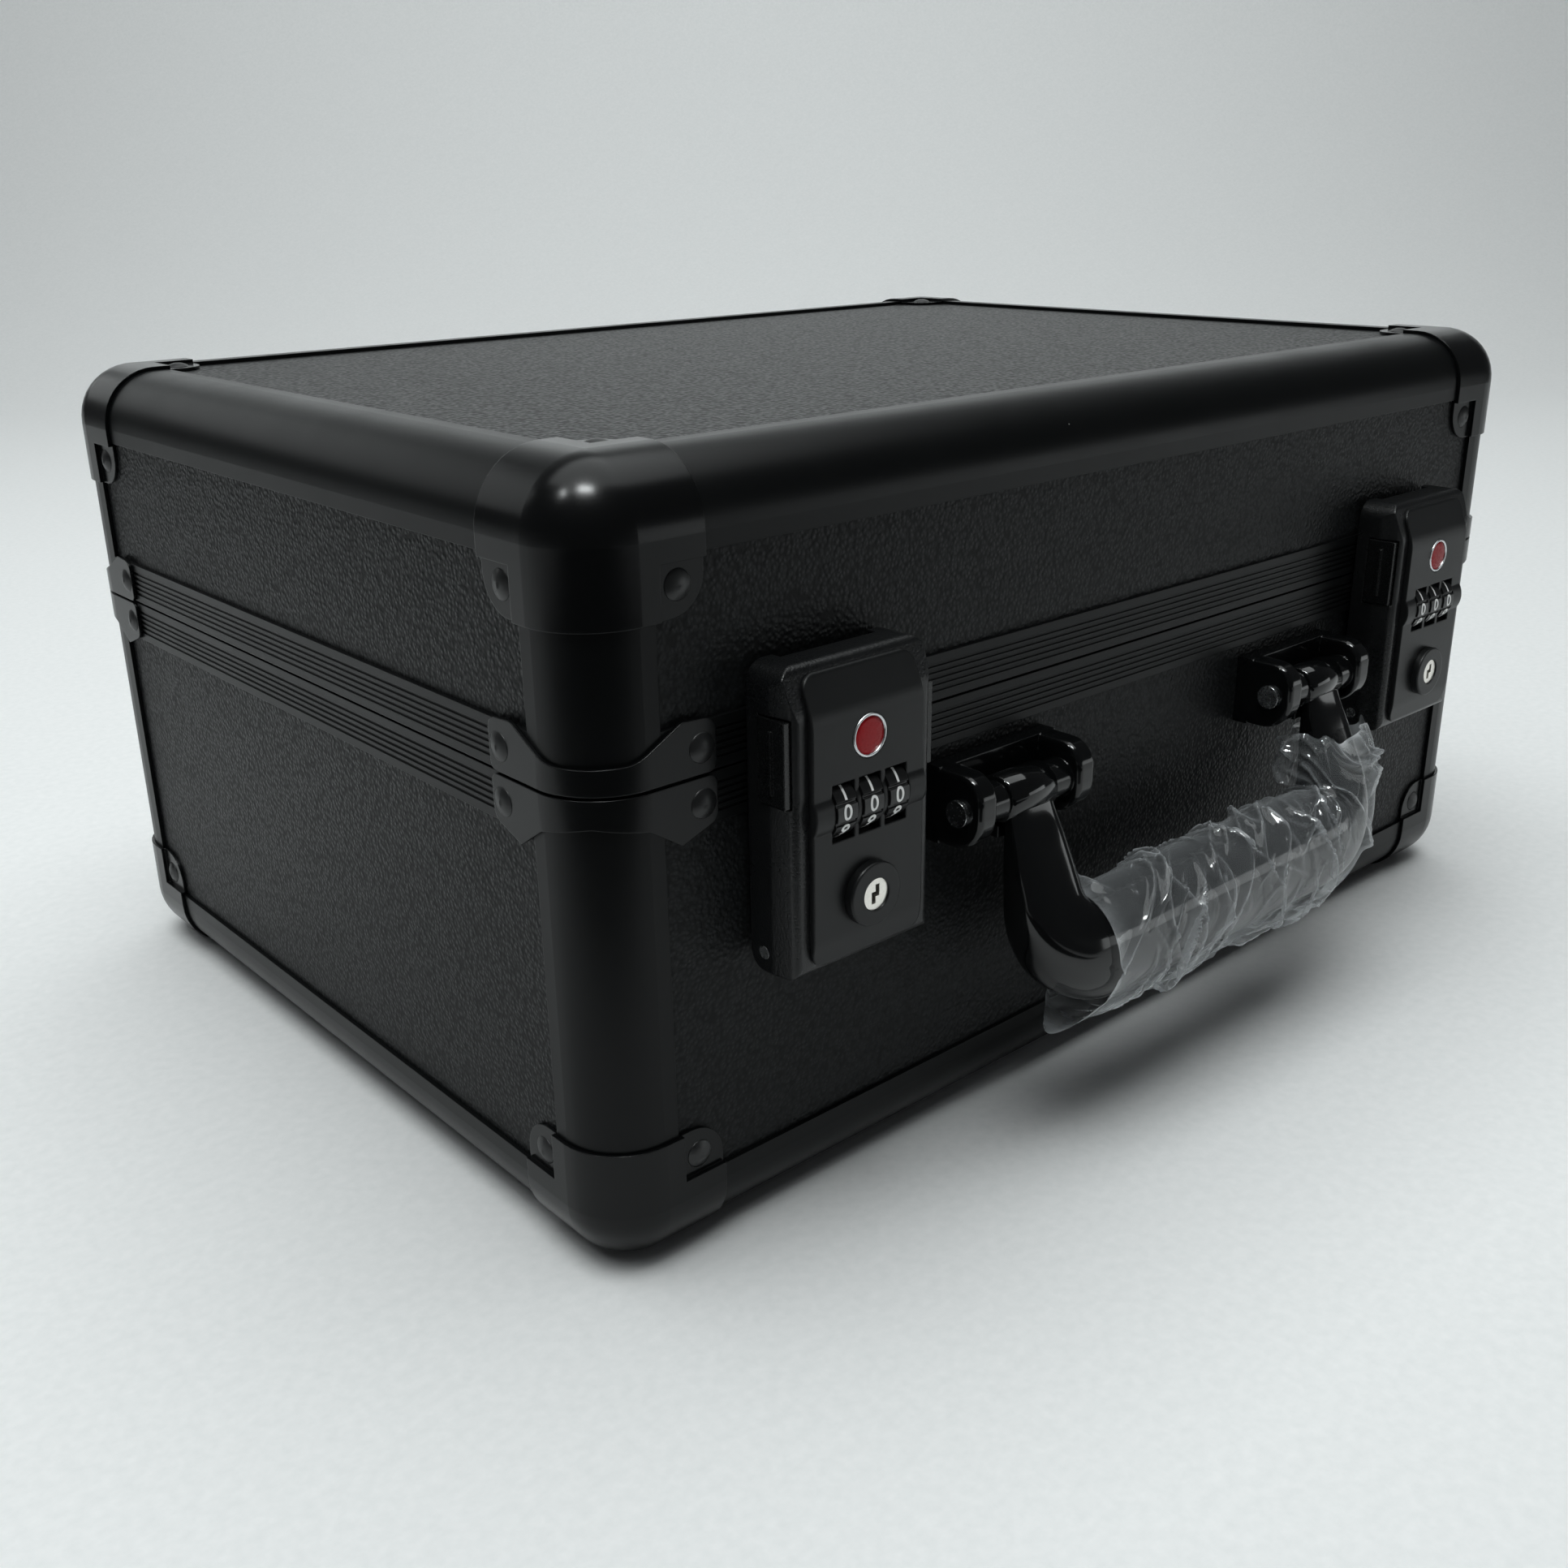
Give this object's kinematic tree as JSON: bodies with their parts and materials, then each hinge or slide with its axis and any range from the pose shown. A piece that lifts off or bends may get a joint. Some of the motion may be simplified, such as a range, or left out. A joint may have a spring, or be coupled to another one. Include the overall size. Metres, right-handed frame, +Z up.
{
  "type": "lockable carrying case",
  "caption": "Black framed carrying case with a hinged lid, capped corners, a swinging front handle and two hinged combination locks with key override.",
  "frame": {"origin": "centre of the whole part's box at the underside of the bottom corner caps", "axes": "+X to the right seen from the front, -Y out of the front with the locks, +Z up"},
  "size_m": [0.3842, 0.319, 0.19],
  "materials": {
    "panel_plastic": "pebble-grained black ABS sheet",
    "profile_metal": "black anodised extrusion, satin",
    "cap_metal": "black enamelled pressed steel, semi-gloss",
    "rivet_metal": "black enamelled rivets",
    "lining_fabric": "flocked lining board",
    "hinge_metal": "black enamelled steel",
    "pin_metal": "bright steel pin",
    "handle_plastic": "glossy black moulding",
    "bracket_plastic": "satin black moulding",
    "film_clear": "clear crinkled film",
    "lock_body": "black powder coat with a fine texture",
    "lock_face": "satin black enamel",
    "dial_plastic": "black wheel with white figures",
    "button_plastic": "satin black moulding",
    "key_metal": "bright nickel",
    "inner_metal": "zinc-plated steel",
    "badge_enamel": "red enamel"
  },
  "bodies": {
    "base": {"base_floor_panel": "panel_plastic", "base_front_panel": "panel_plastic", "base_rear_panel": "panel_plastic", "base_left_panel": "panel_plastic", "base_right_panel": "panel_plastic", "base_edge_profiles": "profile_metal", "base_corner_posts": "profile_metal", "base_rim": "profile_metal", "base_corner_caps": "cap_metal", "base_rim_brackets": "cap_metal", "base_rivets": "rivet_metal", "base_lining": "lining_fabric", "hinge_base_leaves": "hinge_metal", "hinge_pins": "pin_metal", "handle_brackets": "bracket_plastic", "handle_pins": "pin_metal", "left_lock_plate": "inner_metal", "right_lock_plate": "inner_metal"},
    "lid": {"lid_top_panel": "panel_plastic", "lid_front_panel": "panel_plastic", "lid_rear_panel": "panel_plastic", "lid_left_panel": "panel_plastic", "lid_right_panel": "panel_plastic", "lid_edge_profiles": "profile_metal", "lid_corner_posts": "profile_metal", "lid_rim": "profile_metal", "lid_corner_caps": "cap_metal", "lid_rim_brackets": "cap_metal", "lid_rivets": "rivet_metal", "lid_lining": "lining_fabric", "hinge_lid_leaves": "hinge_metal", "left_lock_strike": "inner_metal", "right_lock_strike": "inner_metal"},
    "handle": {"handle_bail": "handle_plastic", "handle_film": "film_clear"},
    "left_flap": {"left_lock_pivot_pin": "pin_metal", "left_lock_flap_body": "lock_body", "left_lock_face_plate": "lock_face", "left_lock_dial_axle": "inner_metal", "left_lock_key_ring": "lock_face"},
    "left_left_button": {"left_lock_button_left": "button_plastic"},
    "left_right_button": {"left_lock_button_right": "button_plastic"},
    "left_dial_1": {"left_lock_dial_1": "dial_plastic"},
    "left_dial_2": {"left_lock_dial_2": "dial_plastic"},
    "left_dial_3": {"left_lock_dial_3": "dial_plastic"},
    "left_key": {"left_lock_key_plug": "key_metal"},
    "left_bar": {"left_lock_bar": "inner_metal"},
    "right_flap": {"right_lock_pivot_pin": "pin_metal", "right_lock_flap_body": "lock_body", "right_lock_face_plate": "lock_face", "right_lock_dial_axle": "inner_metal", "right_lock_key_ring": "lock_face"},
    "right_left_button": {"right_lock_button_left": "button_plastic"},
    "right_right_button": {"right_lock_button_right": "button_plastic"},
    "right_dial_1": {"right_lock_dial_1": "dial_plastic"},
    "right_dial_2": {"right_lock_dial_2": "dial_plastic"},
    "right_dial_3": {"right_lock_dial_3": "dial_plastic"},
    "right_key": {"right_lock_key_plug": "key_metal"},
    "right_bar": {"right_lock_bar": "inner_metal"}
  },
  "joints": [
    {"name": "lid_hinge", "type": "hinge", "parent": "base", "child": "lid", "pos_m": [0, 0.15651, 0.1206], "axis": [-1, 0, 0], "range_deg": [0, 100]},
    {"name": "handle_swing", "type": "hinge", "parent": "base", "child": "handle", "pos_m": [0, -0.13179, 0.095], "axis": [-1, 0, 0], "range_deg": [0, 95]},
    {"name": "left_flap_hinge", "type": "hinge", "parent": "base", "child": "left_flap", "pos_m": [-0.1252, -0.12649, 0.0756], "axis": [1, 0, 0], "range_deg": [0, 90]},
    {"name": "left_left_button_press", "type": "slide", "parent": "left_flap", "child": "left_left_button", "axis": [1, 0, 0], "range_m": [-0.0018, 0.0012], "stiffness_N_per_m": 400, "springref_m": -0.0018},
    {"name": "left_right_button_press", "type": "slide", "parent": "left_flap", "child": "left_right_button", "axis": [-1, 0, 0], "range_m": [-0.0018, 0.0012], "stiffness_N_per_m": 400, "springref_m": -0.0018},
    {"name": "left_dial_1_turn", "type": "hinge", "parent": "left_flap", "child": "left_dial_1", "pos_m": [-0.1333, -0.13189, 0.1095], "axis": [1, 0, 0], "continuous": true},
    {"name": "left_dial_2_turn", "type": "hinge", "parent": "left_flap", "child": "left_dial_2", "pos_m": [-0.1252, -0.13189, 0.1095], "axis": [1, 0, 0], "continuous": true},
    {"name": "left_dial_3_turn", "type": "hinge", "parent": "left_flap", "child": "left_dial_3", "pos_m": [-0.1171, -0.13189, 0.1095], "axis": [1, 0, 0], "continuous": true},
    {"name": "left_key_turn", "type": "hinge", "parent": "left_flap", "child": "left_key", "pos_m": [-0.1252, -0.13929, 0.0877], "axis": [0, 1, 0], "range_deg": [-91, 0]},
    {"name": "left_bar_lift", "type": "slide", "parent": "left_flap", "child": "left_bar", "axis": [0, 0, -1], "range_m": [-0.0035, 0]},
    {"name": "right_flap_hinge", "type": "hinge", "parent": "base", "child": "right_flap", "pos_m": [0.1252, -0.12649, 0.0756], "axis": [1, 0, 0], "range_deg": [0, 90]},
    {"name": "right_left_button_press", "type": "slide", "parent": "right_flap", "child": "right_left_button", "axis": [1, 0, 0], "range_m": [-0.0018, 0.0012], "stiffness_N_per_m": 400, "springref_m": -0.0018},
    {"name": "right_right_button_press", "type": "slide", "parent": "right_flap", "child": "right_right_button", "axis": [-1, 0, 0], "range_m": [-0.0018, 0.0012], "stiffness_N_per_m": 400, "springref_m": -0.0018},
    {"name": "right_dial_1_turn", "type": "hinge", "parent": "right_flap", "child": "right_dial_1", "pos_m": [0.1171, -0.13189, 0.1095], "axis": [1, 0, 0], "continuous": true},
    {"name": "right_dial_2_turn", "type": "hinge", "parent": "right_flap", "child": "right_dial_2", "pos_m": [0.1252, -0.13189, 0.1095], "axis": [1, 0, 0], "continuous": true},
    {"name": "right_dial_3_turn", "type": "hinge", "parent": "right_flap", "child": "right_dial_3", "pos_m": [0.1333, -0.13189, 0.1095], "axis": [1, 0, 0], "continuous": true},
    {"name": "right_key_turn", "type": "hinge", "parent": "right_flap", "child": "right_key", "pos_m": [0.1252, -0.13929, 0.0877], "axis": [0, 1, 0], "range_deg": [-91, 0]},
    {"name": "right_bar_lift", "type": "slide", "parent": "right_flap", "child": "right_bar", "axis": [0, 0, -1], "range_m": [-0.0035, 0]}
  ],
  "couplings": [
    {"joint": "left_key_turn", "follows": "left_bar_lift", "rad_per_m": 448.8},
    {"joint": "right_key_turn", "follows": "right_bar_lift", "rad_per_m": 448.8}
  ]
}
